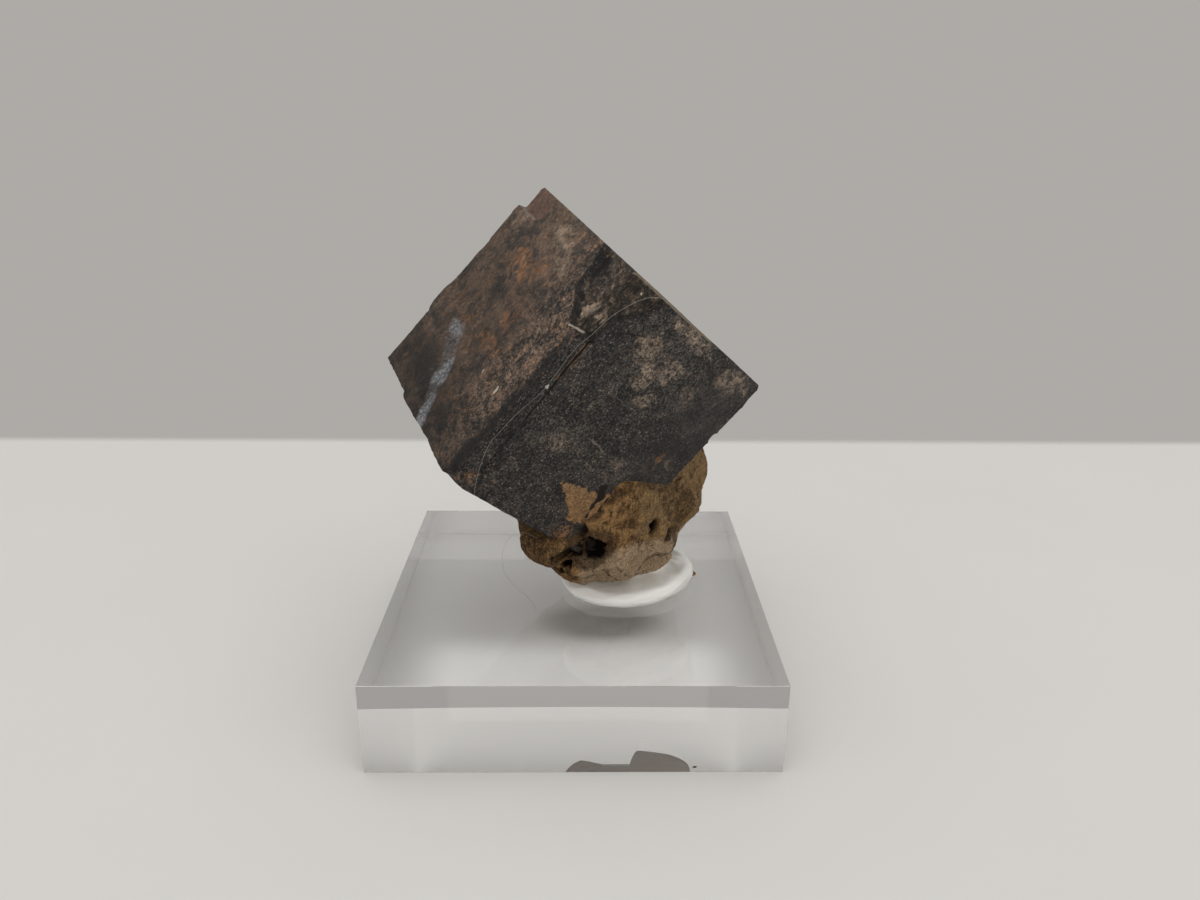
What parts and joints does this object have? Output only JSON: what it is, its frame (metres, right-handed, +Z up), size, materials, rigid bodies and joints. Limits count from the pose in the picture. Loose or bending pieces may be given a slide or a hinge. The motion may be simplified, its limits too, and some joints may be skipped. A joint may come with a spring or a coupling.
{
  "type": "limonite pseudomorph on a display block",
  "caption": "Dark cube-like limonite crystal standing on a corner in a lump of ochre matrix, fixed with clear adhesive on a square clear block.",
  "frame": {"origin": "centre of the display block's underside", "axes": "+Z up; the block's front face looks to -Y; +X to the right seen from the front"},
  "size_m": [0.05, 0.05, 0.065],
  "materials": {
    "crystal": "satin dark brown limonite skin with tan and rust mottling",
    "matrix": "rough ochre, lumpy and pitted",
    "adhesive": "clear, slightly milky hot-melt adhesive",
    "acrylic": "polished clear acrylic"
  },
  "bodies": {
    "root": {"crystal": "crystal", "matrix": "matrix", "adhesive_dab": "adhesive", "display_block": "acrylic"}
  },
  "joints": []
}
